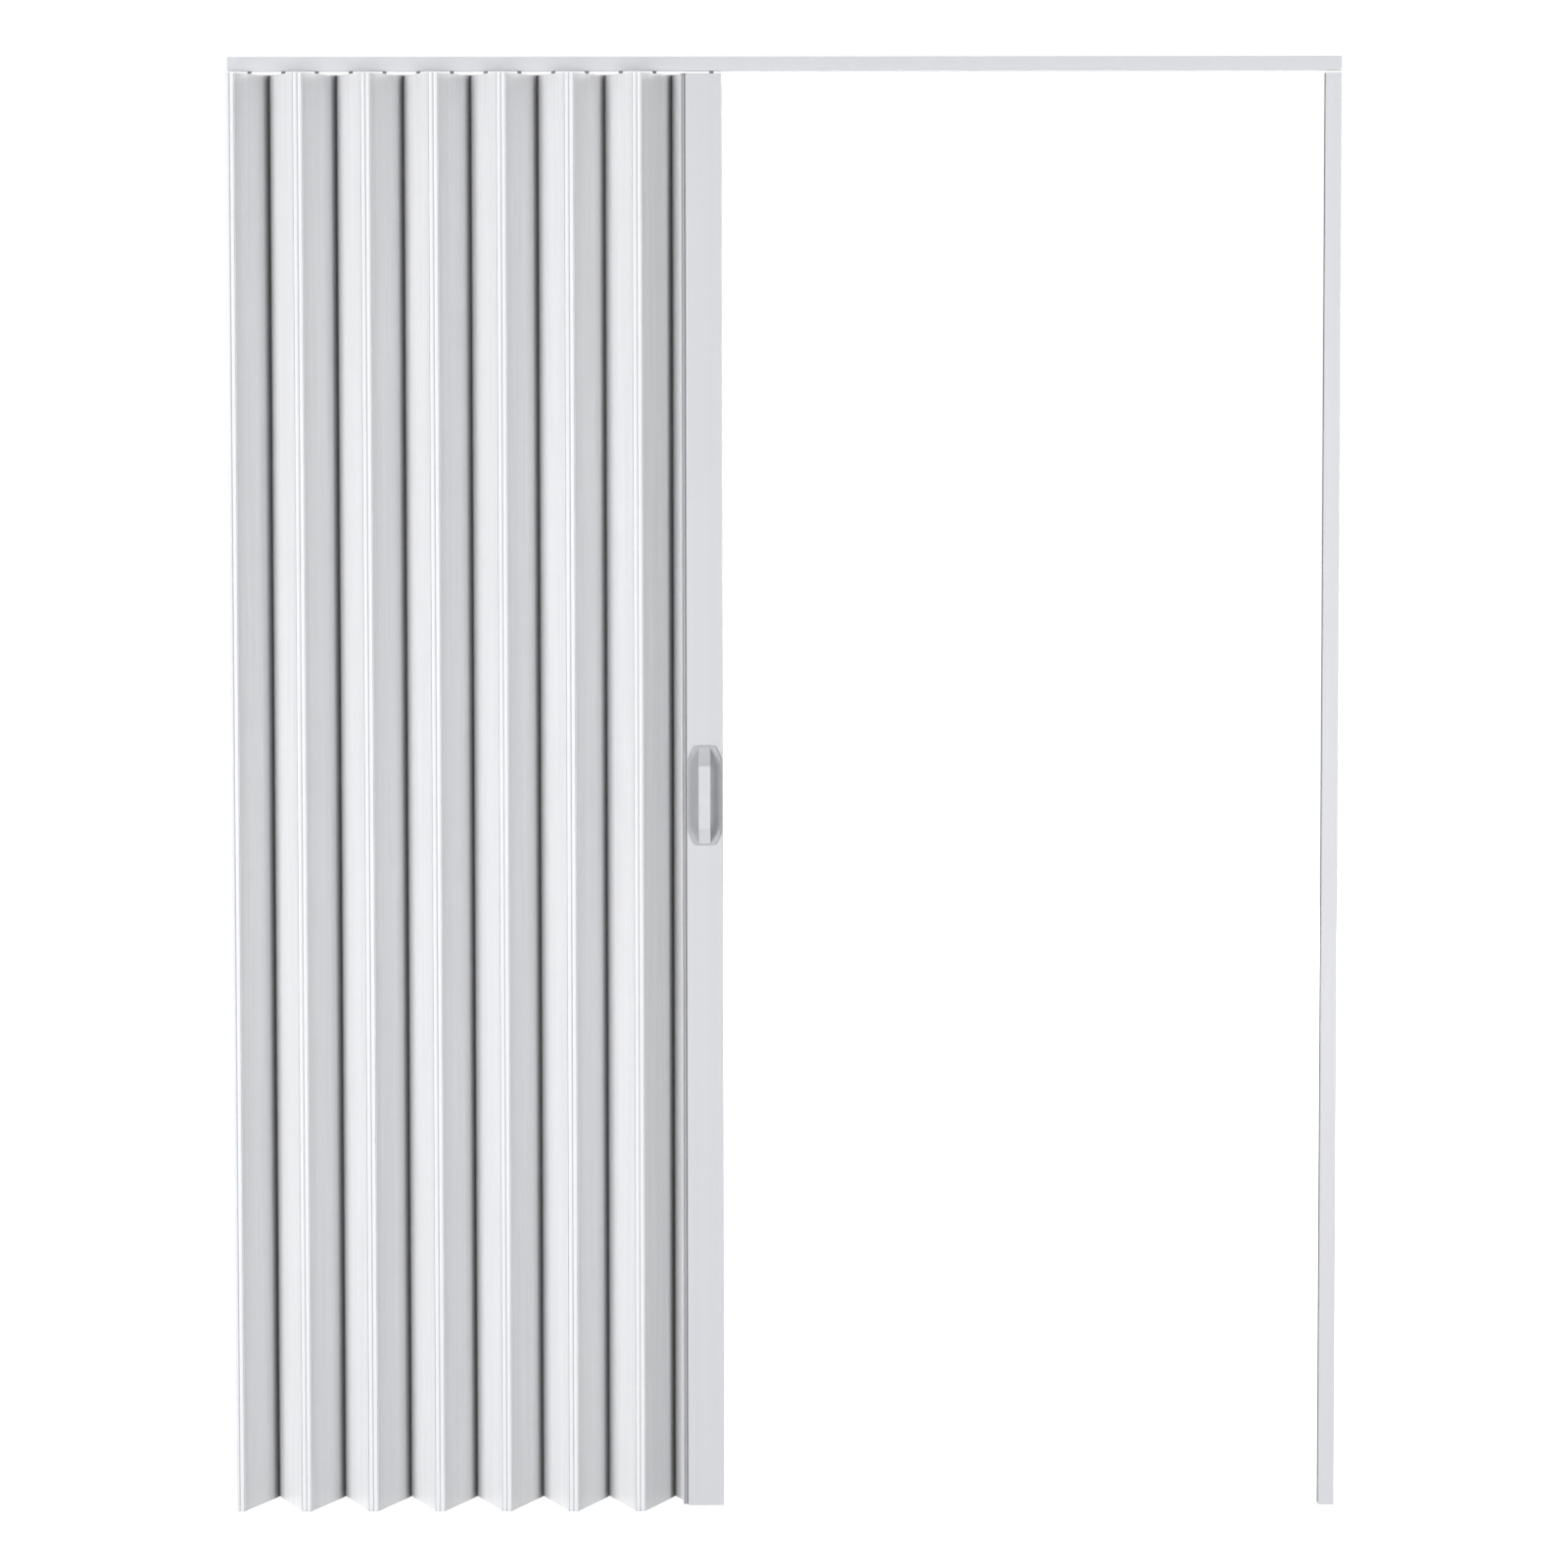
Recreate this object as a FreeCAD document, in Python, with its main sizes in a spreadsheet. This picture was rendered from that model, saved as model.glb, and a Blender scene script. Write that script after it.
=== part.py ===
import FreeCAD, Part
import os
import Sketcher

# Accordion door, millimetres. X runs along the track, the front faces -Y, Z is up.
# The origin is on the floor line under the middle of the track.

doc = FreeCAD.newDocument("AccordionDoor")
sheet = doc.addObject("Spreadsheet::Sheet", "Sizes")


class Dim:
    """A number together with the expression that gives it from the Sizes sheet."""

    def __init__(self, value, text):
        self.value = float(value)
        self.text = text

    def __add__(self, other):
        other = dim(other)
        return Dim(self.value + other.value, f"({self.text} + {other.text})")

    def __sub__(self, other):
        other = dim(other)
        return Dim(self.value - other.value, f"({self.text} - {other.text})")

    def __mul__(self, other):
        other = dim(other)
        return Dim(self.value * other.value, f"({self.text} * {other.text})")

    def __truediv__(self, other):
        other = dim(other)
        return Dim(self.value / other.value, f"({self.text} / {other.text})")

    def __neg__(self):
        return Dim(-self.value, f"(0 - {self.text})")

    __radd__ = __add__
    __rmul__ = __mul__

    def __rsub__(self, other):
        return dim(other) - self


def dim(value):
    """Plain numbers join in as they are."""
    if isinstance(value, Dim):
        return value
    return Dim(value, f"{value:.6g}" if value >= 0 else f"(0 - {-value:.6g})")


def size(alias, value):
    """One row of the sheet: the name, the number and its alias."""
    size.row += 1
    sheet.set(f"A{size.row}", alias)
    sheet.set(f"B{size.row}", f"{value:g}")
    sheet.setAlias(f"B{size.row}", alias)
    return Dim(value, f"Sizes.{alias}")


size.row = 0

# Overall layout
track_length = size("track_length", 1524)
track_depth = size("track_depth", 28)
track_height = size("track_height", 19.1)
leaf_height = size("leaf_height", 1982)
track_gap = size("track_gap", 3.4)
wall = size("wall", 1.5)
first_glide = size("first_glide", -732.7)
half_pitch = size("half_pitch", 23.114)

# Fold panel
fold_depth = size("fold_depth", 56.55)
face_depth = size("face_depth", 57.3)
flange_thick = size("flange_thick", 1.5)
flange_width = size("flange_width", 7)
bead_drop = size("bead_drop", 0.3)
bead_near = size("bead_near", 2.3)
bead_far = size("bead_far", 4.6)
line_middle = size("line_middle", 6.1)
line_mouth = size("line_mouth", 0.45)
line_root = size("line_root", 0.3)
line_deep = size("line_deep", 0.6)
lean = size("lean", 0.368)
plate_half = size("plate_half", 3.2)
cell_half = size("cell_half", 2.4)
cell_inner = size("cell_inner", 4)
cell_rib_low = size("cell_rib_low", 22.8)
cell_rib_high = size("cell_rib_high", 24)
cell_outer = size("cell_outer", 43)
groove_mouth = size("groove_mouth", 1.05)
groove_root = size("groove_root", 0.3)
relief = size("relief", 0.26)
cord_radius = size("cord_radius", 0.5)
seat_radius = size("seat_radius", 0.54)

# Glides
glide_bore = size("glide_bore", 1.85)
glide_bore_depth = size("glide_bore_depth", 60)
pin_half = size("pin_half", 1.27)
pin_length = size("pin_length", 42)
stem_radius = size("stem_radius", 2.75)
stem_flat = size("stem_flat", 1.14)
head_radius = size("head_radius", 6)
head_height = size("head_height", 6)
head_flat = size("head_flat", 2.5)
slot_half = size("slot_half", 3.5)

# Knuckle between the half panel and the lead post
bead_radius = size("bead_radius", 1.75)
socket_bore = size("socket_bore", 1.8)
socket_outer = size("socket_outer", 3.2)
neck_half = size("neck_half", 0.9)
neck_start = size("neck_start", 5)
lip_reach = size("lip_reach", 11.6)
lip_thick = size("lip_thick", 2.1)
lip_rise = size("lip_rise", 0.8)
lip_groove_far = size("lip_groove_far", 8.45)
lip_groove_near = size("lip_groove_near", 5.05)
lip_groove_mouth = size("lip_groove_mouth", 0.8)
lip_groove_root = size("lip_groove_root", 0.6)
lip_groove_deep = size("lip_groove_deep", 1.5)

# Lead post and strike jamb
post_left = size("post_left", 3.8)
post_right = size("post_right", 45.5)
post_half = size("post_half", 13)
post_inner = size("post_inner", 4.2)
post_web = size("post_web", 24.2)
corner = size("corner", 0.9)
recess_half = size("recess_half", 8.5)
recess_deep = size("recess_deep", 2.6)
magnet_half = size("magnet_half", 8.4)
magnet_thick = size("magnet_thick", 2.4)
post_glide = size("post_glide", 31.75)
plug_height = size("plug_height", 55)
plug_play = size("plug_play", 0.1)
jamb_width = size("jamb_width", 21.6)
edge_width = size("edge_width", 5.2)
edge_return = size("edge_return", 12)

# Fixing holes
screw_hole = size("screw_hole", 2.25)
driver_hole = size("driver_hole", 4.5)
track_outer_hole = size("track_outer_hole", 570)
track_inner_hole = size("track_inner_hole", 200)
jamb_low_hole = size("jamb_low_hole", 200)
jamb_high_hole = size("jamb_high_hole", 1782)
stop_length = size("stop_length", 9)

# Handles
handle_z = size("handle_z", 991.3)
front_plate_half = size("front_plate_half", 23.2)
rear_plate_half = size("rear_plate_half", 16.3)
plate_tall = size("plate_tall", 69)
plate_cut_x = size("plate_cut_x", 8)
plate_cut_z = size("plate_cut_z", 21)
plate_thick = size("plate_thick", 3)
plate_bow = size("plate_bow", 1.6)
dish_deep = size("dish_deep", 1.8)
dish_radius = size("dish_radius", 130)
dish_play = size("dish_play", 0.01)
grip_half = size("grip_half", 8.1)
grip_reach = size("grip_reach", 38)
grip_thick = size("grip_thick", 5)
grip_top = size("grip_top", 43)
grip_low = size("grip_low", 43)
grip_foot = size("grip_foot", 66.4)
grip_round = size("grip_round", 1.6)
bolt_z = size("bolt_z", 34)
bolt_radius = size("bolt_radius", 2)
bolt_hole = size("bolt_hole", 2.1)
bolt_head = size("bolt_head", 4)
bolt_head_high = size("bolt_head_high", 2)
nut_half = size("nut_half", 3.46)
doc.recompute()

# Values made from the sizes
pitch = half_pitch * 2
track_low = leaf_height + track_gap
glide_seat = track_gap + wall
post_x = first_glide + pitch * 13
flange_back = face_depth - flange_thick
relief_y = (half_pitch - groove_root - relief * fold_depth - plate_half) / (lean - relief)
relief_x = lean * relief_y + plate_half

parts = []


def new_body(label, x=0.0, y=0.0, z=0.0):
    """An empty body at its place in the shared frame."""
    body = doc.addObject("PartDesign::Body", label)
    body.Label = label
    for axis, offset in zip("xyz", (x, y, z)):
        body.setExpression(f".Placement.Base.{axis}", dim(offset).text)
    parts.append(body)
    return body


def new_sketch(body, name, plane="XY_Plane", offset=0.0):
    """A sketch on one of the body's own origin planes."""
    sketch = body.newObject("Sketcher::SketchObject", f"{body.Label}_{name}")
    for feature in body.Origin.OriginFeatures:
        if feature.Role == plane:
            sketch.AttachmentSupport = [(feature, "")]
    sketch.MapMode = "FlatFace"
    sketch.setExpression(".AttachmentOffset.Base.z", dim(offset).text)
    return sketch


def pin_down(sketch, axis, geometry, point, target):
    """Holds a point at a bound distance from the sketch origin."""
    target = dim(target)
    if abs(target.value) < 1e-9:
        kind = "PointOnObject"
        line = -2 if axis == "DistanceX" else -1
        sketch.addConstraint(Sketcher.Constraint(kind, geometry, point, line))
        return
    if target.value > 0:
        ends = (-1, 1, geometry, point)
    else:
        ends = (geometry, point, -1, 1)
        target = -target
    index = sketch.addConstraint(Sketcher.Constraint(axis, *ends, target.value))
    sketch.setExpression(f"Constraints[{index}]", target.text)


def polygon(sketch, points):
    """A closed outline with every corner bound to the sheet."""
    corners = [FreeCAD.Vector(dim(x).value, dim(y).value, 0) for x, y in points]
    first = sketch.GeometryCount
    count = len(corners)
    for i in range(count):
        sketch.addGeometry(Part.LineSegment(corners[i], corners[(i + 1) % count]), False)
    for i in range(count):
        joined = first + (i + 1) % count
        sketch.addConstraint(Sketcher.Constraint("Coincident", first + i, 2, joined, 1))
    for i, (x, y) in enumerate(points):
        pin_down(sketch, "DistanceX", first + i, 1, x)
        pin_down(sketch, "DistanceY", first + i, 1, y)


def circle(sketch, x, y, radius):
    """A circle with its centre and radius bound to the sheet."""
    centre = FreeCAD.Vector(dim(x).value, dim(y).value, 0)
    geometry = sketch.addGeometry(Part.Circle(centre, FreeCAD.Vector(0, 0, 1), radius.value), False)
    pin_down(sketch, "DistanceX", geometry, 3, x)
    pin_down(sketch, "DistanceY", geometry, 3, y)
    index = sketch.addConstraint(Sketcher.Constraint("Radius", geometry, radius.value))
    sketch.setExpression(f"Constraints[{index}]", radius.text)


def pad(body, sketch, length, flipped=False, centred=False):
    """Extrudes the sketch by a bound length."""
    feature = body.newObject("PartDesign::Pad", f"{sketch.Name}_pad")
    feature.Profile = sketch
    feature.setExpression("Length", dim(length).text)
    feature.Reversed = flipped
    if centred:
        feature.SideType = "Symmetric"
    sketch.Visibility = False
    return feature


def pocket(body, sketch, length=None, flipped=False, both=False):
    """Cuts the sketch through everything, or to a bound depth."""
    feature = body.newObject("PartDesign::Pocket", f"{sketch.Name}_cut")
    feature.Profile = sketch
    if length is None:
        feature.Type = "ThroughAll"
    else:
        feature.setExpression("Length", dim(length).text)
    feature.Reversed = flipped
    if both:
        feature.SideType = "Symmetric"
    sketch.Visibility = False
    return feature


def block(label, x_low, x_high, y_low, y_high, z, height, place=(0.0, 0.0, 0.0)):
    """A plain rectangular bar standing on its own base height."""
    body = new_body(label, *place)
    sketch = new_sketch(body, "outline", offset=z)
    polygon(sketch, [(x_low, y_low), (x_high, y_low), (x_high, y_high), (x_low, y_high)])
    pad(body, sketch, height)
    return body


def flange_end(side):
    """Corners of the fold flange at the left end: hinge groove, crowned bead, line groove, rim and plate."""
    low = face_depth - bead_drop
    steps = [
        (groove_root, fold_depth),
        (groove_mouth, low),
        (bead_near, face_depth),
        (bead_far, face_depth),
        (line_middle - line_mouth, low),
        (line_middle - line_root, low - line_deep),
        (line_middle + line_root, low - line_deep),
        (line_middle + line_mouth, low),
        (flange_width, low),
        (flange_width, flange_back),
    ]
    corners = [(reach - half_pitch, side * depth) for reach, depth in steps]
    return corners + [(plate_half - lean * flange_back, side * flange_back)]


def relief_end(side):
    """Corners of the relieved plate side that runs back to the same hinge groove."""
    foot = half_pitch - groove_root - relief * (fold_depth - flange_back)
    return [(-relief_x, side * relief_y), (-foot, side * flange_back)]


def plate_cell(sketch, side, low, high):
    """One hollow cell of a panel plate between two distances from the middle."""
    polygon(sketch, [
        (lean * low + cell_half, side * low),
        (lean * high + cell_half, side * high),
        (lean * high - cell_half, side * high),
        (lean * low - cell_half, side * low),
    ])


def fold_panel(label, x, front_left):
    """A full panel. Its left end folds at the front or at the back."""
    side = -1.0 if front_left else 1.0
    body = new_body(label, x)
    start = flange_end(side)
    relieved = relief_end(side)
    turned = [(-px, -py) for px, py in start + relieved]
    outline = new_sketch(body, "outline")
    corners = len(start)
    polygon(outline, start + turned[corners:] + turned[:corners] + relieved)
    for low, high in ((cell_inner, cell_rib_low), (cell_rib_high, cell_outer)):
        plate_cell(outline, -side, low, high)
        plate_cell(outline, -side, -high, -low)
    pad(body, outline, leaf_height)
    seats = new_sketch(body, "seats")
    circle(seats, -half_pitch, side * fold_depth, seat_radius)
    circle(seats, half_pitch, -side * fold_depth, seat_radius)
    pocket(body, seats, leaf_height, flipped=True)
    bore = new_sketch(body, "bore", offset=leaf_height)
    circle(bore, 0.0, 0.0, glide_bore)
    pocket(body, bore, glide_bore_depth)
    return body


def hinge_cord(label, x, y):
    """The round soft cord in the groove between two flanges."""
    body = new_body(label, x, y)
    outline = new_sketch(body, "outline")
    circle(outline, 0.0, 0.0, cord_radius)
    pad(body, outline, leaf_height)
    return body


def octagon(sketch, reach, flat):
    """An eight-sided outline about the sketch's origin."""
    polygon(sketch, [
        (reach, flat),
        (flat, reach),
        (-flat, reach),
        (-reach, flat),
        (-reach, -flat),
        (-flat, -reach),
        (flat, -reach),
        (reach, -flat),
    ])


def glide(label, x):
    """A moulded glide: square pin in the panel, slim stem in the slot, head on the track lips."""
    body = new_body(label, x, 0.0, leaf_height)
    pin = new_sketch(body, "pin")
    polygon(pin, [(pin_half, pin_half), (-pin_half, pin_half), (-pin_half, -pin_half), (pin_half, -pin_half)])
    stem = new_sketch(body, "stem")
    octagon(stem, stem_radius, stem_flat)
    head = new_sketch(body, "head", offset=glide_seat)
    octagon(head, head_radius, head_flat)
    pad(body, pin, pin_length, flipped=True)
    pad(body, stem, glide_seat)
    pad(body, head, head_height)
    return body


# Top track
track = new_body("top_track", track_length * -0.5, 0.0, track_low)
outline = new_sketch(track, "outline", "YZ_Plane")
half = track_depth / 2
polygon(outline, [
    (-half, 0.0),
    (-slot_half, 0.0),
    (-slot_half, wall),
    (wall - half, wall),
    (wall - half, track_height - wall),
    (half - wall, track_height - wall),
    (half - wall, wall),
    (slot_half, wall),
    (slot_half, 0.0),
    (half, 0.0),
    (half, track_height),
    (-half, track_height),
])
pad(track, outline, track_length)
holes = new_sketch(track, "holes", offset=track_height - wall)
middle = track_length / 2
for reach in (track_outer_hole, track_inner_hole):
    circle(holes, middle - reach, 0.0, screw_hole)
    circle(holes, middle + reach, 0.0, screw_hole)
pocket(track, holes, wall, flipped=True)

# Track end stops, standing on the lips inside the channel
stop_half = half - wall - plug_play
for label, start in (
    ("track_stop_left", track_length * -0.5 + wall),
    ("track_stop_right", track_length * 0.5 - wall - stop_length),
):
    block(label, start, start + stop_length, -stop_half, stop_half, track_low + wall, head_height * 2)

# Strike jamb and its magnet strip
jamb_x = track_length / 2 - jamb_width
jamb = new_body("strike_jamb", jamb_x)
outline = new_sketch(jamb, "outline")
polygon(outline, [
    (0.0, -post_half),
    (jamb_width, -post_half),
    (jamb_width, post_half),
    (0.0, post_half),
    (0.0, recess_half),
    (recess_deep, recess_half),
    (recess_deep, -recess_half),
    (0.0, -recess_half),
])
inside = post_half - wall
polygon(outline, [
    (recess_deep + wall, -inside),
    (jamb_width - wall, -inside),
    (jamb_width - wall, inside),
    (recess_deep + wall, inside),
])
pad(jamb, outline, leaf_height)
holes = new_sketch(jamb, "holes", "YZ_Plane")
drivers = new_sketch(jamb, "drivers", "YZ_Plane")
for level in (jamb_low_hole, jamb_high_hole):
    circle(holes, 0.0, level, screw_hole)
    circle(drivers, 0.0, level, driver_hole)
pocket(jamb, holes, jamb_width, flipped=True)
pocket(jamb, drivers, jamb_width - wall * 2, flipped=True)
block("strike_magnet", recess_deep - magnet_thick, recess_deep, -magnet_half, magnet_half,
      0.0, leaf_height, place=(jamb_x, 0.0, 0.0))

# Fold panels with their glides, and the cord at the right end of each panel
for number in range(1, 14):
    x = first_glide + pitch * (number - 1)
    folds_front = number % 2 == 1
    fold_panel(f"panel_{number:02d}", x, folds_front)
    glide(f"glide_{number:02d}", x)
    cord_y = fold_depth if folds_front else -fold_depth
    hinge_cord(f"hinge_cord_{number:02d}", x + half_pitch, cord_y)
hinge_cord("hinge_cord_00", first_glide - half_pitch, -fold_depth)

# Edge strip at the wall end, with a return behind its face
edge = new_body("edge_strip", first_glide - half_pitch)
outline = new_sketch(edge, "outline")
polygon(outline, [
    (-groove_root, -fold_depth),
    (-groove_root - groove_root, -flange_back),
    (wall - edge_width, -flange_back),
    (wall - edge_width, edge_return - face_depth),
    (-edge_width, edge_return - face_depth),
    (-edge_width, bead_drop - face_depth),
    (groove_mouth - edge_width, -face_depth),
    (-bead_near, -face_depth),
    (-groove_mouth, bead_drop - face_depth),
])
pad(edge, outline, leaf_height)
seats = new_sketch(edge, "seats")
circle(seats, 0.0, -fold_depth, seat_radius)
pocket(edge, seats, leaf_height, flipped=True)

# Half panel that ends in a round bead on the track centre line
half_panel = new_body("half_panel", post_x)
outline = new_sketch(half_panel, "outline")
polygon(outline, flange_end(1.0) + [
    (plate_half - lean * neck_start, neck_start),
    (neck_half - lean * (neck_start - 2), neck_start - 2),
    (neck_half - lean * 0.5, 0.5),
    (-neck_half - lean * 0.5, 0.5),
    (-neck_half - lean * (neck_start - 2), neck_start - 2),
    (-plate_half - lean * neck_start, neck_start),
] + relief_end(1.0))
for low, high in ((cell_inner + wall * 2, cell_rib_low), (cell_rib_high, cell_outer)):
    plate_cell(outline, -1.0, -high, -low)
pad(half_panel, outline, leaf_height)
bead = new_sketch(half_panel, "bead")
circle(bead, 0.0, 0.0, bead_radius)
pad(half_panel, bead, leaf_height)
seats = new_sketch(half_panel, "seats")
circle(seats, -half_pitch, fold_depth, seat_radius)
pocket(half_panel, seats, leaf_height, flipped=True)

# Lead post with the socket for that bead and a cover lip in front of it
post = new_body("lead_post", post_x)
outline = new_sketch(post, "outline")
polygon(outline, [
    (corner - post_left, -post_half),
    (post_right - corner, -post_half),
    (post_right, corner - post_half),
    (post_right, -recess_half),
    (post_right - recess_deep, -recess_half),
    (post_right - recess_deep, recess_half),
    (post_right, recess_half),
    (post_right, post_half - corner),
    (post_right - corner, post_half),
    (post_inner, post_half),
    (post_inner, wall),
    (socket_bore * 0.5, wall),
    (socket_bore * 0.5, -wall),
    (post_inner, -wall),
    (post_inner, wall - post_half),
    (-post_left, wall - post_half),
    (-post_left, corner - post_half),
])
cells = (
    (post_inner + wall, post_web - wall / 2),
    (post_web + wall / 2, post_right - recess_deep - wall),
)
for low, high in cells:
    polygon(outline, [(low, -inside), (high, -inside), (high, inside), (low, inside)])
pad(post, outline, leaf_height)
barrel = new_sketch(post, "barrel")
circle(barrel, 0.0, 0.0, socket_outer)
pad(post, barrel, leaf_height)
lip = new_sketch(post, "lip")
lip_front = -socket_outer - lip_rise
lip_points = [(-lip_reach, lip_front)]
for groove in (lip_groove_far, lip_groove_near):
    lip_points += [
        (-groove - lip_groove_mouth, lip_front),
        (-groove - lip_groove_root, lip_front + lip_groove_deep),
        (lip_groove_root - groove, lip_front + lip_groove_deep),
        (lip_groove_mouth - groove, lip_front),
    ]
lip_points += [(0.0, lip_front), (0.0, lip_front + lip_thick), (-lip_reach, lip_front + lip_thick)]
polygon(lip, lip_points)
pad(post, lip, leaf_height)
bore = new_sketch(post, "bore")
circle(bore, 0.0, 0.0, socket_bore)
pocket(post, bore, leaf_height, flipped=True)
mouth = new_sketch(post, "mouth")
polygon(mouth, [
    (0.0, 0.0),
    (socket_bore * 1.6, socket_outer * 1.7),
    (-socket_outer * 2, socket_outer * 2),
    (-socket_outer * 2, wall * 0.15),
])
pocket(post, mouth, leaf_height, flipped=True)
bolts = new_sketch(post, "bolts", "XZ_Plane", offset=-post_half)
handle_x = (post_right - post_left) / 2
for level in (handle_z - bolt_z, handle_z + bolt_z):
    circle(bolts, handle_x, level, bolt_hole)
pocket(post, bolts, post_half * 4, both=True)
block("post_magnet", post_right - recess_deep, post_right - recess_deep + magnet_thick,
      -magnet_half, magnet_half, 0.0, leaf_height, place=(post_x, 0.0, 0.0))

# End plugs of the post, the top one carrying the lead glide
plug_low = post_web + wall / 2 + plug_play
plug_high = post_right - recess_deep - wall - plug_play
plug_half = inside - plug_play
top_plug = block("post_top_plug", plug_low, plug_high, -plug_half, plug_half,
                 leaf_height - plug_height, plug_height, place=(post_x, 0.0, 0.0))
bore = new_sketch(top_plug, "bore", offset=leaf_height)
circle(bore, post_glide, 0.0, glide_bore)
pocket(top_plug, bore, plug_height)
block("post_bottom_plug", plug_low, plug_high, -plug_half, plug_half,
      0.0, plug_height, place=(post_x, 0.0, 0.0))
glide("lead_glide", post_x + post_glide)


def dish_seat(half_width):
    """Height over the post at which a flat foot of this half width sits in the hollow of the plate."""
    return plate_thick - dish_deep + half_width * half_width / (dish_radius * 2) + dish_play


# Handles on both faces of the post
for label, outward, plate_wide in (("front", -1.0, front_plate_half), ("rear", 1.0, rear_plate_half)):
    face = outward * post_half
    plate = new_body(f"{label}_handle_plate", post_x + handle_x, face, handle_z)
    outline = new_sketch(plate, "outline", "XZ_Plane")
    shoulder = plate_wide - plate_cut_x
    right_side = [
        (shoulder / 2, -plate_tall),
        (shoulder, plate_bow - plate_tall),
        (plate_wide, plate_cut_z - plate_tall),
    ]
    right_side += [(px, -pz) for px, pz in reversed(right_side)]
    polygon(outline, right_side + [(-px, pz) for px, pz in reversed(right_side)])
    pad(plate, outline, plate_thick, flipped=outward > 0)
    dish = new_sketch(plate, "dish")
    circle(dish, 0.0, outward * (plate_thick - dish_deep + dish_radius), dish_radius)
    pocket(plate, dish, plate_tall * 4, both=True)
    bolts = new_sketch(plate, "bolts", "XZ_Plane")
    for level in (-bolt_z, bolt_z):
        circle(bolts, 0.0, level, bolt_hole)
    pocket(plate, bolts, plate_thick * 4, both=True)

    grip = new_body(f"{label}_handle_grip", post_x + handle_x, face, handle_z)
    outline = new_sketch(grip, "outline", "YZ_Plane")
    near = outward * dish_seat(grip_half)
    far = outward * grip_reach
    inner = outward * (grip_reach - grip_thick)
    polygon(outline, [
        (near, -grip_foot),
        (far, -grip_low),
        (far, grip_top),
        (near, grip_foot),
        (near, grip_foot - grip_thick * 1.6),
        (inner, grip_top - grip_thick * 0.5),
        (inner, grip_thick * 0.5 - grip_low),
        (near, grip_thick * 1.6 - grip_foot),
    ])
    bow = pad(grip, outline, grip_half * 2, centred=True)
    doc.recompute()
    long_edges = []
    for index, edge_line in enumerate(bow.Shape.Edges, 1):
        middle_point = edge_line.CenterOfMass
        on_side = abs(abs(middle_point.x) - grip_half.value) < 1e-6
        off_plate = abs(middle_point.y - near.value) > 1e-3
        if on_side and off_plate:
            long_edges.append(f"Edge{index}")
    rounded = grip.newObject("PartDesign::Fillet", f"{label}_grip_round")
    rounded.Base = (bow, long_edges)
    rounded.setExpression("Radius", grip_round.text)

# Through bolts that clamp the two plates to the post, with six-sided nuts at the back
bolts = new_body("handle_bolts", post_x + handle_x, 0.0, handle_z)
reach = post_half + dish_seat(bolt_head)
shank = new_sketch(bolts, "shank", "XZ_Plane")
heads = new_sketch(bolts, "heads", "XZ_Plane", offset=reach)
nuts = new_sketch(bolts, "nuts", "XZ_Plane", offset=-reach)
for level in (-bolt_z, bolt_z):
    circle(shank, 0.0, level, bolt_radius)
    circle(heads, 0.0, level, bolt_head)
    polygon(nuts, [
        (bolt_head, level),
        (bolt_head / 2, level + nut_half),
        (-bolt_head / 2, level + nut_half),
        (-bolt_head, level),
        (-bolt_head / 2, level - nut_half),
        (bolt_head / 2, level - nut_half),
    ])
pad(bolts, shank, reach * 2, centred=True)
pad(bolts, heads, bolt_head_high)
pad(bolts, nuts, bolt_head_high, flipped=True)

doc.recompute()

os.makedirs("parts", exist_ok=True)
for item in doc.Objects:
    if "Invalid" in item.State or "Error" in item.State:
        raise RuntimeError(f"{item.Label}: {item.State}")
for body in parts:
    shape = body.Shape
    if shape.isNull() or not shape.isValid():
        raise RuntimeError(f"{body.Label}: no valid shape")
    shape.exportStep(f"parts/{body.Label}.step")
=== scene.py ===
import math

import bpy
from mathutils import Matrix, Vector


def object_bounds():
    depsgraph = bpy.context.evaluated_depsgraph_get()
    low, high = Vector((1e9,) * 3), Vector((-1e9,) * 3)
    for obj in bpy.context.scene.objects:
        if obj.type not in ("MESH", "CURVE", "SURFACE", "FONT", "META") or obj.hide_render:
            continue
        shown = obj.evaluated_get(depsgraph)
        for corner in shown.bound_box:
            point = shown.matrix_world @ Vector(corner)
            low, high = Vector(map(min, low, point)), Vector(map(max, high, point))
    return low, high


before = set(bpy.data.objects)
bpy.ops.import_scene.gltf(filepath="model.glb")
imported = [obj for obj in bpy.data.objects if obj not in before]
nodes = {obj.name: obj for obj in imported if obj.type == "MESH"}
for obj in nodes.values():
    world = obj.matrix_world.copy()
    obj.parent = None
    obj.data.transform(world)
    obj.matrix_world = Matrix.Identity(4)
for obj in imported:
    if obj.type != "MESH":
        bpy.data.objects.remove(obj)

cad_low, cad_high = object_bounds()

MM = 0.001

# Sizes of the stage and the view, in metres and degrees
PHOTO_WIDTH = 1601
FOCAL_PIXELS = 6461.134
SENSOR = 36.0
CAMERA_PLACE = (3.598 * MM, -8715.365 * MM, 1685.007 * MM)
CAMERA_PITCH = 4.4550
CAMERA_YAW = -0.0348
CAMERA_ROLL = -0.0609
FLOOR_DROP = 8 * MM
FLOOR_HALF = 30.0
CLIP_RANGE = (0.1, 200.0)

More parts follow.
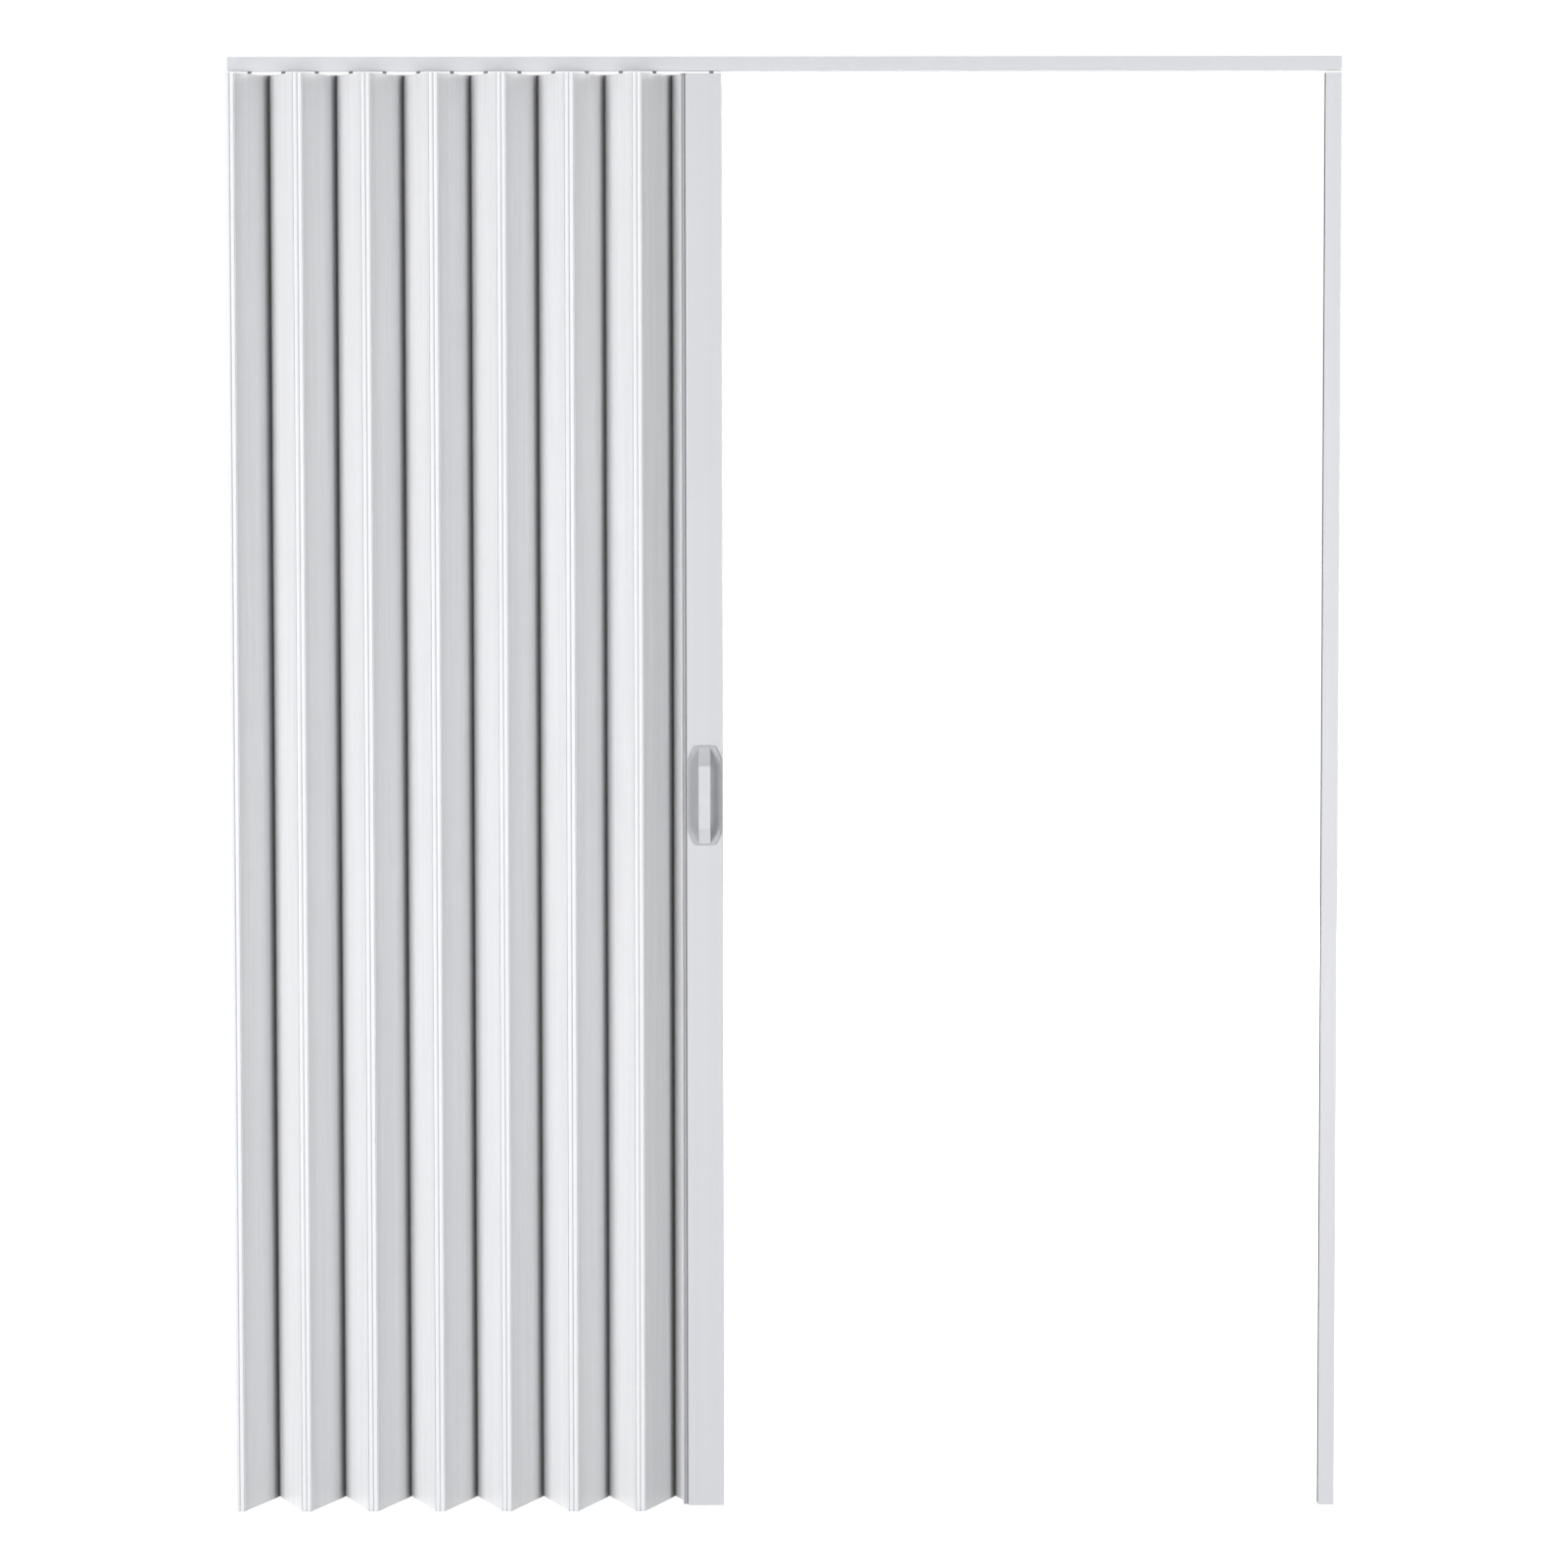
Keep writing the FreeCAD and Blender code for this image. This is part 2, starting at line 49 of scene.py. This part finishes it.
# Levels of the light
AMBIENT = 0.285
KEY_WATTS = 650.0
KEY_PLACE = (-5.05, -11.0, 1.8)
KEY_SIZE = (4.2, 3.4)
KEY_TARGET = (-0.3, 0.0, 1.0)
SIDE_WATTS = 51.0
SIDE_PLACE = (2.2, -5.35, 1.2)
SIDE_TARGET = (-0.3, 0.0, 1.05)
SIDE_SIZE = (1.6, 2.4)
RIGHT_WATTS = 12.5
RIGHT_PLACE = (1.7, -3.7, 0.3)
RIGHT_TARGET = (-0.3, 0.0, 1.3)
LEFT_WATTS = 11.0
LEFT_PLACE = (-1.7, -2.3, 0.15)
LEFT_TARGET = (-0.5, 0.0, 0.8)
FILL_SIZE = (1.8, 0.5)
BACK_WATTS = 330.0
BACK_PLACE = (3.6, 7.4, 2.2)
BACK_SIZE = (3.6, 3.0)
FLOOR_GLOW = 0.85

# Where the smooth strips along the folds begin, and the painted shade deep in folds, lines and grooves
STRIP_DEPTH = 55.6 * MM
FOLD_SHADE = 0.15
FOLD_REACH = 16 * MM
FOLD_LEAST = 0.1
LINE_SHADE = 0.30
LINE_REACH = 2.5 * MM
GROOVE_SHADE = 0.15
GROOVE_REACH = 4 * MM

# How matt the plastics are, then linear colours and factors of age
PVC_MATT = 1.0
MOULD_MATT = 0.5
PANEL_WHITE = (0.898, 0.902, 0.918)
# The track, jamb, post and strip whites sit below the panel white: painted shade that makes up for the
# stronger light on their front faces; the jamb white is a little above the track white, painted light for
# the weaker key light at its place
TRACK_WHITE = (0.726, 0.732, 0.760)
JAMB_WHITE = (0.738, 0.744, 0.771)
POST_WHITE = (0.700, 0.705, 0.731)
CORD_WHITE = (0.640, 0.648, 0.662)
GRIP_WHITE = (0.690, 0.695, 0.718)
PLATE_GREY = (0.488, 0.491, 0.507)
STRIP_WHITE = (0.850, 0.857, 0.878)
PLUG_GREY = (0.560, 0.570, 0.585)
NYLON_GREY = (0.330, 0.338, 0.350)
MAGNET_DARK = (0.070, 0.070, 0.074)
STEEL_GREY = (0.560, 0.560, 0.565)
GRAIN_AGED = (0.985, 0.975, 0.955)
SMOOTH_AGED = (0.985, 0.975, 0.95)
SKY_COLOUR = (0.975, 0.982, 1.0)
FLOOR_WHITE = (0.86, 0.86, 0.86)
FLOOR_ROUGH = 0.9

# Shared by the finishes: offset of each piece, samples of nodes, and ranges mapped to zero to one
PIECE_SHIFT = (1.7, 2.3, 3.1)
BEVEL_SAMPLES = 4
FOLD_SAMPLES = 8
EDGE_TURN = (0.995, 0.90)
FOLD_OPEN = (0.95, 0.10)
TURN_FULL = 0.9
MIDDLE = (0.3, 0.7)

# Mean roughness of each finish
PANEL_ROUGH = 0.40
SMOOTH_ROUGH = 0.34
CORD_ROUGH = 0.58
GRIP_ROUGH = 0.36
PLATE_ROUGH = 0.40
PLUG_ROUGH = 0.50
NYLON_ROUGH = 0.44
MAGNET_ROUGH = 0.75
STEEL_ROUGH = 0.34

# Depth of the fine relief of each finish, and width of the worn edges
GRAIN_RELIEF = 0.22 * MM
LINE_RELIEF = 0.05 * MM
PIT_RELIEF = 0.06 * MM
CORD_RELIEF = 0.04 * MM
SPECK_RELIEF = 0.05 * MM
TURNED_RELIEF = 0.02 * MM
PANEL_WEAR = 0.9 * MM
SMOOTH_WEAR = 0.8 * MM
MOULD_WEAR = 1.0 * MM
DIE_STRETCH = 400.0

# Sockets of the colour form of a mix node
MIX_FIRST, MIX_SECOND, MIX_RESULT = 6, 7, 2


class Finish:
    """A procedural material: nodes are added by name and joined to the main shader."""

    def __init__(self, name, roughness, specular=0.5, metallic=0.0, matt=0.0):
        self.material = bpy.data.materials.new(name)
        self.material.use_nodes = True
        self.tree = self.material.node_tree
        self.shader = self.tree.nodes["Principled BSDF"]
        self.shader.inputs["Roughness"].default_value = roughness
        self.shader.inputs["Specular IOR Level"].default_value = specular
        self.shader.inputs["Metallic"].default_value = metallic
        self.shader.inputs["Diffuse Roughness"].default_value = matt
        self.place = self.object_place()

    def add(self, kind, **settings):
        """A new node of this kind; settings name its properties."""
        made = self.tree.nodes.new(kind)
        for key, value in settings.items():
            setattr(made, key, value)
        return made

    def join(self, source, target):
        self.tree.links.new(source, target)

    def math(self, operation, first, second):
        """The result socket of a math node; each input is a socket or a number."""
        made = self.add("ShaderNodeMath", operation=operation)
        for socket, value in zip(made.inputs, (first, second)):
            if isinstance(value, (int, float)):
                socket.default_value = value
            else:
                self.join(value, socket)
        return made.outputs[0]

    def part(self, value, share):
        """The value times a fixed share."""
        return self.math("MULTIPLY", value, share)

    def span(self, value, low, high, to_low=0.0, to_high=1.0):
        """The value's range low to high mapped to another one, held at its ends."""
        made = self.add("ShaderNodeMapRange", interpolation_type="SMOOTHSTEP")
        self.join(value, made.inputs["Value"])
        for key, number in (("From Min", low), ("From Max", high), ("To Min", to_low), ("To Max", to_high)):
            made.inputs[key].default_value = number
        return made.outputs["Result"]

    def object_place(self):
        """Coordinates that travel with the piece, with an own offset for each piece."""
        place = self.add("ShaderNodeTexCoord").outputs["Object"]
        chance = self.add("ShaderNodeObjectInfo").outputs["Random"]
        shift = self.add("ShaderNodeVectorMath", operation="SCALE")
        shift.inputs[0].default_value = PIECE_SHIFT
        self.join(chance, shift.inputs["Scale"])
        total = self.add("ShaderNodeVectorMath", operation="ADD")
        self.join(place, total.inputs[0])
        self.join(shift.outputs[0], total.inputs[1])
        return total.outputs[0]

    def noise(self, size, stretch=(1, 1, 1), *, detail, distortion=0.0, roughness=0.5):
        """Noise with features of about this size in metres, longer along an axis by its stretch."""
        mapping = self.add("ShaderNodeMapping")
        mapping.inputs["Scale"].default_value = [1 / (size * s) for s in stretch]
        self.join(self.place, mapping.inputs["Vector"])
        made = self.add("ShaderNodeTexNoise")
        made.inputs["Scale"].default_value = 1.0
        made.inputs["Detail"].default_value = detail
        made.inputs["Distortion"].default_value = distortion
        made.inputs["Roughness"].default_value = roughness
        self.join(mapping.outputs[0], made.inputs["Vector"])
        return made.outputs["Fac"]

    def edges(self, radius):
        """One on edges within this radius, zero on open faces."""
        rounded = self.add("ShaderNodeBevel", samples=BEVEL_SAMPLES)
        rounded.inputs["Radius"].default_value = radius
        plain = self.add("ShaderNodeNewGeometry").outputs["Normal"]
        dot = self.add("ShaderNodeVectorMath", operation="DOT_PRODUCT")
        self.join(rounded.outputs[0], dot.inputs[0])
        self.join(plain, dot.inputs[1])
        return self.span(dot.outputs["Value"], *EDGE_TURN)

    def beyond_depth(self, depth):
        """One where a face of the piece lies further from the door's middle plane than this depth."""
        axes = self.add("ShaderNodeSeparateXYZ")
        self.join(self.add("ShaderNodeTexCoord").outputs["Object"], axes.inputs[0])
        return self.math("GREATER_THAN", self.math("ABSOLUTE", axes.outputs["Y"], 0.0), depth)

    def folds(self, reach):
        """A mask for painted shade: one where a face lies deep in a fold, zero where nothing is within
        reach.
        """
        open_share = self.add("ShaderNodeAmbientOcclusion", samples=FOLD_SAMPLES)
        open_share.inputs["Distance"].default_value = reach
        return self.span(open_share.outputs["AO"], *FOLD_OPEN)

    def turned_right(self, least):
        """One on faces that look to the strike jamb, falling to the least on those that look to the wall. It
        leans the painted fold shade away from the key light.
        """
        axes = self.add("ShaderNodeSeparateXYZ")
        self.join(self.add("ShaderNodeNewGeometry").outputs["Normal"], axes.inputs[0])
        return self.span(axes.outputs["X"], -TURN_FULL, TURN_FULL, least, 1.0)

    def tint(self, first, second, share):
        """The colour that goes from the first to the second with the share; each is a socket or a colour."""
        made = self.add("ShaderNodeMix", data_type="RGBA")
        self.join(share, made.inputs["Factor"])
        for socket, value in ((made.inputs[MIX_FIRST], first), (made.inputs[MIX_SECOND], second)):
            if isinstance(value, tuple):
                socket.default_value = (*value, 1.0)
            else:
                self.join(value, socket)
        return made.outputs[MIX_RESULT]

    def colour(self, socket):
        self.join(socket, self.shader.inputs["Base Color"])

    def rough(self, socket):
        self.join(socket, self.shader.inputs["Roughness"])

    def bump(self, height, depth, strength):
        """Relief of this depth in metres, from a height of zero to one."""
        made = self.add("ShaderNodeBump")
        made.inputs["Strength"].default_value = strength
        made.inputs["Distance"].default_value = depth
        self.join(height, made.inputs["Height"])
        self.join(made.outputs[0], self.shader.inputs["Normal"])


def scaled(colour, factor):
    """The colour made lighter or darker, held at white."""
    return tuple(min(1.0, c * factor) for c in colour)


def filtered(colour, factors):
    """The colour with each channel times its own factor."""
    return tuple(c * factor for c, factor in zip(colour, factors))


def grained_pvc(name, white, strip):
    """White PVC foil with an embossed upright wood grain, and painted shade deep in its folds and fine
    lines.
    """
    f = Finish(name, PANEL_ROUGH, matt=PVC_MATT)
    figure = f.noise(9 * MM, (1, 1, 45), detail=5.0, distortion=0.6)
    fibre = f.noise(3.4 * MM, (1, 1, 90), detail=3.0)
    pore = f.span(f.noise(1.1 * MM, (1, 1, 22), detail=1.0), 0.60, 0.72)
    cloud = f.noise(160 * MM, (1, 1, 4), detail=2.0)
    worn = f.edges(PANEL_WEAR)
    base = f.tint(scaled(white, 0.955), scaled(white, 1.015), f.span(figure, 0.35, 0.65))
    base = f.tint(base, scaled(white, 0.93), f.part(f.span(fibre, 0.52, 0.66), 0.9))
    base = f.tint(base, scaled(white, 0.92), pore)
    base = f.tint(base, filtered(white, GRAIN_AGED), f.part(cloud, 0.35))
    # The strips take a lower white: painted shade that makes up for the stronger light on their front faces
    base = f.tint(base, strip, f.beyond_depth(STRIP_DEPTH))
    base = f.tint(base, scaled(white, 1.03), f.part(worn, 0.5))
    # Painted shade deep in the folds, fuller on faces that look to the strike jamb
    shade = f.math("MULTIPLY", f.folds(FOLD_REACH), f.turned_right(FOLD_LEAST))
    base = f.tint(base, scaled(white, FOLD_SHADE), shade)
    # Painted shade in the fine lines: the strip grooves and the corners beside the strips
    f.colour(f.tint(base, scaled(white, LINE_SHADE), f.folds(LINE_REACH)))
    level = f.math("ADD", f.part(figure, 0.45), f.part(fibre, 0.35))
    f.bump(f.math("SUBTRACT", level, f.part(pore, 0.35)), GRAIN_RELIEF, 0.6)
    gloss = f.math("ADD", f.span(fibre, *MIDDLE, 0.34, 0.44), f.part(pore, 0.12))
    f.rough(f.math("SUBTRACT", gloss, f.part(worn, 0.06)))
    return f.material


def smooth_pvc(name, white, along):
    """Smooth extruded PVC with faint die lines along one axis, and painted shade in its grooves and inner
    corners.
    """
    f = Finish(name, SMOOTH_ROUGH, matt=PVC_MATT)
    stretch = [1.0, 1.0, 1.0]
    stretch[along] = DIE_STRETCH
    line = f.noise(1.6 * MM, stretch, detail=3.0, roughness=0.6)
    band = f.noise(14 * MM, stretch, detail=2.0)
    cloud = f.noise(220 * MM, detail=3.0)
    scuff = f.span(f.noise(45 * MM, detail=8.0, roughness=0.7), 0.58, 0.74)
    worn = f.edges(SMOOTH_WEAR)
    base = f.tint(scaled(white, 0.985), scaled(white, 1.012), f.span(band, *MIDDLE))
    base = f.tint(base, filtered(white, SMOOTH_AGED), f.part(cloud, 0.3))
    base = f.tint(base, scaled(white, 0.97), f.part(scuff, 0.3))
    base = f.tint(base, scaled(white, 1.05), f.part(worn, 0.4))
    # Painted shade in grooves and inner corners
    f.colour(f.tint(base, scaled(white, GROOVE_SHADE), f.folds(GROOVE_REACH)))
    f.bump(line, LINE_RELIEF, 0.35)
    gloss = f.span(cloud, *MIDDLE, SMOOTH_ROUGH - 0.04, SMOOTH_ROUGH + 0.05)
    f.rough(f.math("ADD", gloss, f.part(scuff, 0.10)))
    return f.material


def moulded(name, grey, roughness, grit=0.35):
    """Moulded plastic with a fine eroded texture."""
    f = Finish(name, roughness, matt=MOULD_MATT)
    pit = f.noise(0.7 * MM, detail=4.0, roughness=0.6)
    cloud = f.noise(30 * MM, detail=3.0)
    flow = f.noise(9 * MM, (1, 1, 5), detail=4.0, distortion=1.2)
    worn = f.edges(MOULD_WEAR)
    base = f.tint(scaled(grey, 0.965), scaled(grey, 1.02), f.span(cloud, *MIDDLE))
    base = f.tint(base, scaled(grey, 0.95), f.part(f.span(flow, 0.5, 0.7), 0.4))
    f.colour(f.tint(base, scaled(grey, 1.10), f.part(worn, 0.5)))
    f.bump(pit, PIT_RELIEF, grit)
    gloss = f.span(flow, *MIDDLE, roughness - 0.05, roughness + 0.06)
    f.rough(f.math("SUBTRACT", gloss, f.part(worn, 0.10)))
    return f.material


def soft_pvc(name, white):
    """Soft hinge PVC, matt, with fine lengthwise lines."""
    f = Finish(name, CORD_ROUGH, specular=0.4, matt=PVC_MATT)
    line = f.noise(0.6 * MM, (1, 1, 300), detail=2.0)
    cloud = f.noise(70 * MM, (1, 1, 3), detail=3.0)
    f.colour(f.tint(scaled(white, 0.93), scaled(white, 1.03), f.span(cloud, *MIDDLE)))
    f.bump(line, CORD_RELIEF, 0.4)
    f.rough(f.span(cloud, *MIDDLE, 0.52, 0.66))
    return f.material


def ferrite(name, dark):
    """Flexible magnet strip: dark, with a fine mineral speckle."""
    f = Finish(name, MAGNET_ROUGH, specular=0.3)
    speck = f.noise(0.5 * MM, detail=2.0)
    cloud = f.noise(25 * MM, detail=4.0)
    base = f.tint(scaled(dark, 0.75), scaled(dark, 1.3), f.span(cloud, *MIDDLE))
    f.colour(f.tint(base, scaled(dark, 2.2), f.part(f.span(speck, 0.62, 0.75), 0.5)))
    f.bump(speck, SPECK_RELIEF, 0.5)
    f.rough(f.span(cloud, *MIDDLE, 0.65, 0.85))
    return f.material


def zinc(name, grey):
    """Zinc-plated steel with fine turning lines and dull patches."""
    f = Finish(name, STEEL_ROUGH, metallic=1.0)
    turn = f.noise(0.4 * MM, (6, 1, 1), detail=3.0)
    patch = f.noise(3 * MM, detail=5.0)
    f.colour(f.tint(scaled(grey, 0.82), scaled(grey, 1.08), f.span(patch, *MIDDLE)))
    f.bump(turn, TURNED_RELIEF, 0.4)
    f.rough(f.span(patch, *MIDDLE, 0.26, 0.46))
    return f.material


ALONG_X, ALONG_Z = 0, 2
slot_finish = {
    "panel_pvc": grained_pvc("embossed_pvc", PANEL_WHITE, STRIP_WHITE),
    "post_pvc": smooth_pvc("post_pvc_smooth", POST_WHITE, ALONG_Z),
    "cord_pvc": soft_pvc("hinge_pvc", CORD_WHITE),
    "handle_plastic": moulded("grip_moulded", GRIP_WHITE, GRIP_ROUGH),
    "plate_plastic": moulded("plate_moulded", PLATE_GREY, PLATE_ROUGH),
    "plug_plastic": moulded("plug_moulded", PLUG_GREY, PLUG_ROUGH, grit=0.5),
    "nylon": moulded("glide_nylon", NYLON_GREY, NYLON_ROUGH, grit=0.25),
    "magnet": ferrite("magnet_strip", MAGNET_DARK),
    "bolt_steel": zinc("zinc_steel", STEEL_GREY),
}
node_finish = {
    "top_track": smooth_pvc("track_pvc_smooth", TRACK_WHITE, ALONG_X),
    "strike_jamb": smooth_pvc("jamb_pvc_smooth", JAMB_WHITE, ALONG_Z),
}

# Rounded edges: widths for most nodes and for the fine profiles, and nodes with a width of their own
EDGE_ROUND = 0.35 * MM
FINE_ROUND = 0.13 * MM
FINE_EDGED = ("panel_", "half_panel", "edge_strip")
EDGE_SEGMENTS = 2
EDGE_ANGLE = 32.0
node_round = {
    "top_track": 0.6 * MM,
    "strike_jamb": 0.8 * MM,
    "lead_post": 0.6 * MM,
    "front_handle_plate": 0.45 * MM,
    "rear_handle_plate": 0.45 * MM,
}
WELD_REACH = 0.002 * MM
FLAT_ANGLE = 0.5
FACE_WEIGHT = 100


def round_edges(piece, width):
    """Joins the split faces of the piece, merges its flat ones and rounds what is sharp."""
    weld = piece.modifiers.new("join", "WELD")
    weld.merge_threshold = WELD_REACH
    flat = piece.modifiers.new("flat", "DECIMATE")
    flat.decimate_type = "DISSOLVE"
    flat.angle_limit = math.radians(FLAT_ANGLE)
    bevel = piece.modifiers.new("round", "BEVEL")
    bevel.width = width
    bevel.segments = EDGE_SEGMENTS
    bevel.limit_method = "ANGLE"
    bevel.angle_limit = math.radians(EDGE_ANGLE)
    bevel.use_clamp_overlap = False
    bevel.miter_outer = "MITER_ARC"
    shade = piece.modifiers.new("shade", "WEIGHTED_NORMAL")
    shade.weight = FACE_WEIGHT
    shade.keep_sharp = False


for name, piece in nodes.items():
    slot = piece.material_slots[0]
    slot.material = node_finish.get(name) or slot_finish[slot.material.name]
    if name.startswith(FINE_EDGED):
        round_edges(piece, FINE_ROUND)
    elif not name.startswith("hinge_cord"):
        round_edges(piece, node_round.get(name, EDGE_ROUND))


def white_for_view(tree):
    """One for rays that show the background, zero for rays that only light the object."""
    path = tree.nodes.new("ShaderNodeLightPath")
    total = path.outputs["Is Camera Ray"]
    for other in ("Is Glossy Ray", "Is Transmission Ray"):
        most = tree.nodes.new("ShaderNodeMath")
        most.operation = "MAXIMUM"
        tree.links.new(total, most.inputs[0])
        tree.links.new(path.outputs[other], most.inputs[1])
        total = most.outputs[0]
    return total


def make_world():
    """Soft light all around the object, and a white background for the view."""
    world = bpy.data.worlds.new("studio")
    bpy.context.scene.world = world
    world.use_nodes = True
    tree = world.node_tree
    soft = tree.nodes["Background"]
    soft.inputs["Color"].default_value = (*SKY_COLOUR, 1.0)
    soft.inputs["Strength"].default_value = AMBIENT
    white = tree.nodes.new("ShaderNodeBackground")
    white.inputs["Color"].default_value = (1.0, 1.0, 1.0, 1.0)
    white.inputs["Strength"].default_value = 1.0
    mix = tree.nodes.new("ShaderNodeMixShader")
    tree.links.new(white_for_view(tree), mix.inputs[0])
    tree.links.new(soft.outputs[0], mix.inputs[1])
    tree.links.new(white.outputs[0], mix.inputs[2])
    tree.links.new(mix.outputs[0], tree.nodes["World Output"].inputs["Surface"])


def make_floor():
    """A pale floor that glows for the camera and keeps the shadow of the door."""
    level = cad_low.z - FLOOR_DROP
    mesh = bpy.data.meshes.new("floor")
    corners = [(x * FLOOR_HALF, y * FLOOR_HALF, level) for x, y in ((-1, -1), (1, -1), (1, 1), (-1, 1))]
    mesh.from_pydata(corners, [], [(0, 1, 2, 3)])
    floor = bpy.data.objects.new("floor", mesh)
    bpy.context.scene.collection.objects.link(floor)
    material = bpy.data.materials.new("floor_white")
    material.use_nodes = True
    tree = material.node_tree
    plain = tree.nodes["Principled BSDF"]
    plain.inputs["Base Color"].default_value = (*FLOOR_WHITE, 1.0)
    plain.inputs["Roughness"].default_value = FLOOR_ROUGH
    plain.inputs["Specular IOR Level"].default_value = 0.0
    glow = tree.nodes.new("ShaderNodeEmission")
    glow.inputs["Strength"].default_value = FLOOR_GLOW
    both = tree.nodes.new("ShaderNodeAddShader")
    tree.links.new(plain.outputs[0], both.inputs[0])
    tree.links.new(glow.outputs[0], both.inputs[1])
    mix = tree.nodes.new("ShaderNodeMixShader")
    tree.links.new(white_for_view(tree), mix.inputs[0])
    tree.links.new(plain.outputs[0], mix.inputs[1])
    tree.links.new(both.outputs[0], mix.inputs[2])
    tree.links.new(mix.outputs[0], tree.nodes["Material Output"].inputs["Surface"])
    mesh.materials.append(material)


def make_lamp(name, place, target, size, watts):
    """An area lamp at this place, turned to its target and hidden from the view."""
    data = bpy.data.lights.new(name, "AREA")
    data.shape = "RECTANGLE"
    data.size, data.size_y = size
    data.energy = watts
    lamp = bpy.data.objects.new(name, data)
    bpy.context.scene.collection.objects.link(lamp)
    lamp.location = place
    lamp.visible_camera = False
    lamp.rotation_mode = "QUATERNION"
    lamp.rotation_quaternion = (Vector(target) - Vector(place)).to_track_quat("-Z", "Y")


def make_camera():
    """The photo's camera, as fitted on the door's straight edges."""
    data = bpy.data.cameras.new("camera")
    data.sensor_width = SENSOR
    data.lens = SENSOR * FOCAL_PIXELS / PHOTO_WIDTH
    data.clip_start, data.clip_end = CLIP_RANGE
    camera = bpy.data.objects.new("camera", data)
    bpy.context.scene.collection.objects.link(camera)
    turn = Matrix.Rotation(math.radians(-CAMERA_YAW), 4, "Z")
    turn = turn @ Matrix.Rotation(math.radians(90 - CAMERA_PITCH), 4, "X")
    turn = turn @ Matrix.Rotation(math.radians(CAMERA_ROLL), 4, "Z")
    camera.matrix_world = Matrix.Translation(CAMERA_PLACE) @ turn
    bpy.context.scene.camera = camera


make_world()
make_floor()
make_lamp("key", KEY_PLACE, KEY_TARGET, KEY_SIZE, KEY_WATTS)
make_lamp("side", SIDE_PLACE, SIDE_TARGET, SIDE_SIZE, SIDE_WATTS)
make_lamp("back", BACK_PLACE, KEY_TARGET, BACK_SIZE, BACK_WATTS)
make_lamp("low_right", RIGHT_PLACE, RIGHT_TARGET, FILL_SIZE, RIGHT_WATTS)
make_lamp("low_left", LEFT_PLACE, LEFT_TARGET, FILL_SIZE, LEFT_WATTS)
make_camera()
bpy.context.scene.view_settings.view_transform = "Standard"
